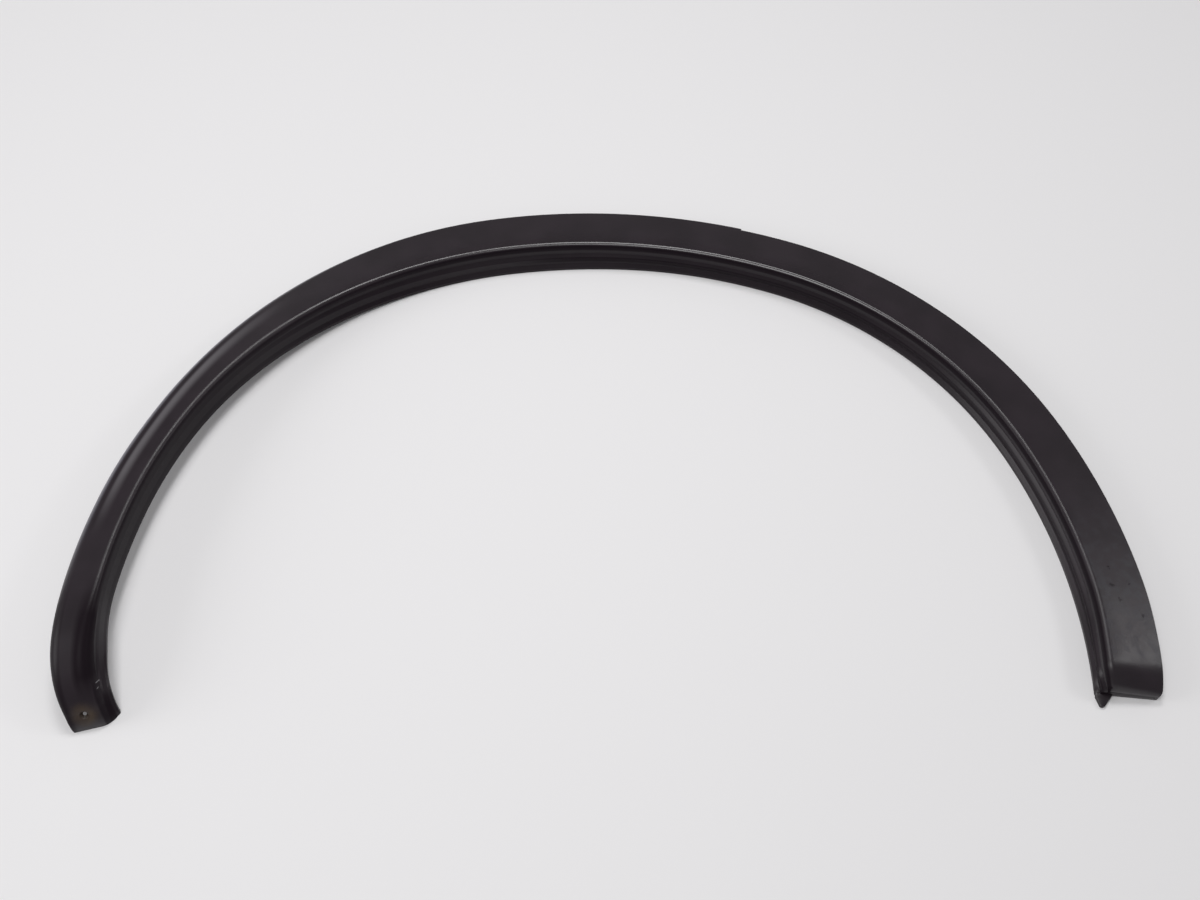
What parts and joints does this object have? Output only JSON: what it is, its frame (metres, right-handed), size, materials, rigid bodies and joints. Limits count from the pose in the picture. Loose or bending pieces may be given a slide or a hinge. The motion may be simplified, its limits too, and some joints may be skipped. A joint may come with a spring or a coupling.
{
  "type": "wheel arch trim",
  "caption": "Curved car wheel arch trim: a thin hollow-backed moulding with a sloping face, a rounded crest bead, a grooved inner wall and a bent-down end with a screw hole.",
  "frame": {"origin": "centre of the bounding box in plan, on the plane the trim rests on", "axes": "+X to the right along the width of the arch seen from the front, +Y to the crown of the arch, +Z out of the face, away from the car"},
  "size_m": [0.702, 0.4202, 0.0367],
  "materials": {
    "black_plastic": "satin, finely grained, lightly worn"
  },
  "bodies": {
    "root": {"wheel_arch_trim": "black_plastic"}
  },
  "joints": []
}
